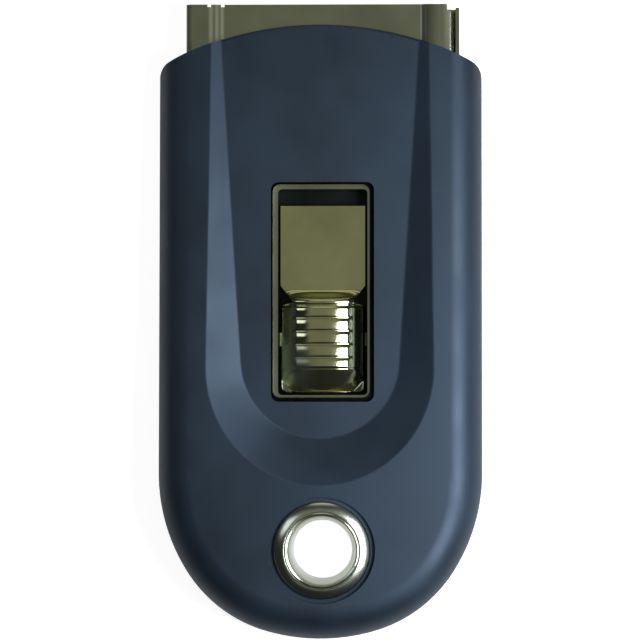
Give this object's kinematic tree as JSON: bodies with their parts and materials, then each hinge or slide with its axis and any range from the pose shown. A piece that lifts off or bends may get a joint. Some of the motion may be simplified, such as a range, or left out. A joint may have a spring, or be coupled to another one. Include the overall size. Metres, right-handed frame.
{
  "type": "ceramic hob scraper",
  "caption": "Flat pocket scraper for glass-ceramic hobs: a blade carriage slides out of a steel sheath between two plastic half shells, moved by a ribbed thumb piece.",
  "frame": {"origin": "centre of the flat back, on the surface that the scraper lies on, halfway along its whole length", "axes": "+Y towards the mouth where the blade comes out, +Z out of the front with the thumb piece, +X to the right seen from the front with the mouth up"},
  "size_m": [0.0528, 0.1034, 0.0113],
  "materials": {
    "shell_plastic": "satin dark slate blue",
    "plated_steel": "nickel plated, semi bright",
    "eyelet_steel": "bright plated",
    "carriage_steel": "dull plated",
    "blade_steel": "ground and polished",
    "spine_steel": "rolled",
    "rivet_steel": "plated",
    "thumb_steel": "bright plated pressing",
    "spring_steel": "blued"
  },
  "bodies": {
    "handle": {"front_shell": "shell_plastic", "back_shell": "shell_plastic", "sheath_front": "plated_steel", "sheath_back": "plated_steel", "eyelet": "eyelet_steel", "eyelet_washer": "eyelet_steel"},
    "carriage": {"blade_carriage": "carriage_steel", "razor_blade": "blade_steel", "blade_spine": "spine_steel", "blade_keeper": "carriage_steel", "keeper_rivets": "rivet_steel", "lock_spring": "spring_steel", "spring_rivets": "rivet_steel"},
    "thumb": {"thumb_slide": "thumb_steel"}
  },
  "joints": [
    {"name": "carriage_slide", "type": "slide", "parent": "handle", "child": "carriage", "axis": [0, 1, 0], "range_m": [0, 0.0146]},
    {"name": "button_press", "type": "slide", "parent": "carriage", "child": "thumb", "axis": [0, 0, 1], "range_m": [-0.0006, 0], "stiffness_N_per_m": 800, "springref_m": 0.003, "deforming": ["lock_spring"]}
  ]
}
